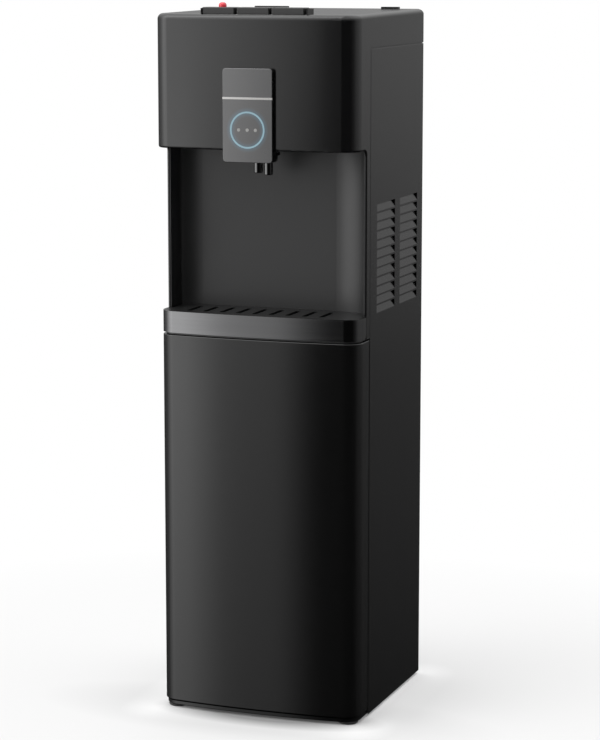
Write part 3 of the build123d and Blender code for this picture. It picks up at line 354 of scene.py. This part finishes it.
def from_foot(tree):
    """Distance on the floor from the foot of the object, in metres."""
    front = node_box("door_skin")[0][1]
    back = node_box("left_side_panel")[1][1]
    half_width = node_box("door_skin")[1][0]
    half_depth = (back - front) / 2
    place = make(tree, "SeparateXYZ")
    wire(tree, object_point(tree), place.inputs[0])
    gap = make(tree, "CombineXYZ")
    depth = math_node(tree, "SUBTRACT", place.outputs[1], (front + back) / 2)
    for socket, along, half in zip(gap.inputs, (place.outputs[0], depth), (half_width, half_depth)):
        outside = math_node(tree, "SUBTRACT", math_node(tree, "ABSOLUTE", along), half)
        wire(tree, math_node(tree, "MAXIMUM", outside, 0.0), socket)
    length = make(tree, "VectorMath", operation="LENGTH")
    wire(tree, gap.outputs[0], length.inputs[0])
    return length.outputs["Value"]


def painted_front_shadow(tree):
    """Painted shadow: share of the floor's colour, less in a painted soft shadow before the foot."""
    away = make(tree, "VectorMath", operation="SUBTRACT")
    wire(tree, object_point(tree), away.inputs[0])
    away.inputs[1].default_value = SHADE_MIDDLE
    share = make(tree, "VectorMath", operation="DIVIDE")
    wire(tree, away.outputs[0], share.inputs[0])
    share.inputs[1].default_value = SHADE_HALF
    length = make(tree, "VectorMath", operation="LENGTH")
    wire(tree, share.outputs[0], length.inputs[0])
    near = spread(tree, length.outputs["Value"], SHADE_TONE, SHADE_END, SHADE_FROM, 1.0)
    rest = spread(tree, length.outputs["Value"], 0.0, 1.0 - SHADE_END, 1.0, SHADE_REACH)
    return math_node(tree, "ADD", near, rest)


def floor():
    """Pale floor that fades into the white surround away from the object, with a painted shadow before the
    foot and a white that is dimmer near it as painted shade.
    """
    half = FLOOR_SIZE / 2
    mesh = bpy.data.meshes.new("floor")
    corners = [(-half, -half, 0), (half, -half, 0), (half, half, 0), (-half, half, 0)]
    mesh.from_pydata(corners, [], [(0, 1, 2, 3)])
    ground = bpy.data.objects.new("floor", mesh)
    bpy.context.scene.collection.objects.link(ground)

    material, tree, shader = new_material("floor")
    material.cycles.emission_sampling = "NONE"
    # painted shadow: darkens the floor's colour and its white before the foot
    shade = painted_front_shadow(tree)
    tinted(tree, shader, (FLOOR_TONE, FLOOR_TONE, FLOOR_TONE), shade)
    shader.inputs["Roughness"].default_value = FLOOR_ROUGH
    shader.inputs["Specular IOR Level"].default_value = 0.0
    reach = from_foot(tree)
    near = spread(tree, reach, FLOOR_TOUCH, FLOOR_SHARE, 0.0, FLOOR_NEAR)
    far = spread(tree, reach, 0.0, 1.0 - FLOOR_SHARE, FLOOR_NEAR, FLOOR_FAR)
    share = math_node(tree, "ADD", near, far)
    path = make(tree, "LightPath")
    white = make(tree, "Emission")
    # plain white far from the foot, dimmer near it as painted shade
    white_with_painted_shade = spread(tree, reach, FLOOR_WHITE, 1.0, FLOOR_NEAR, FLOOR_FAR)
    wire(tree, math_node(tree, "MULTIPLY", white_with_painted_shade, shade), white.inputs["Strength"])
    fade = make(tree, "MixShader")
    wire(tree, math_node(tree, "MULTIPLY", share, path.outputs["Is Camera Ray"]), fade.inputs["Fac"])
    wire(tree, shader.outputs[0], fade.inputs[1])
    wire(tree, white.outputs[0], fade.inputs[2])
    clear = make(tree, "MixShader")
    wire(tree, path.outputs["Is Glossy Ray"], clear.inputs["Fac"])
    wire(tree, fade.outputs[0], clear.inputs[1])
    wire(tree, make(tree, "BsdfTransparent").outputs[0], clear.inputs[2])
    wire(tree, clear.outputs[0], tree.nodes["Material Output"].inputs["Surface"])
    mesh.materials.append(material)


def camera():
    """Camera that sees the object as the photograph does."""
    data = bpy.data.cameras.new("camera")
    data.lens = CAMERA_LENS
    data.sensor_width = SENSOR
    data.clip_end = CAMERA_REACH
    viewer = bpy.data.objects.new("camera", data)
    viewer.location = CAMERA_PLACE
    viewer.rotation_euler = [radians(turn) for turn in CAMERA_TURN]
    bpy.context.scene.collection.objects.link(viewer)
    bpy.context.scene.camera = viewer


bpy.context.scene.view_settings.view_transform = "Standard"
camera()
world()
floor()
dress()
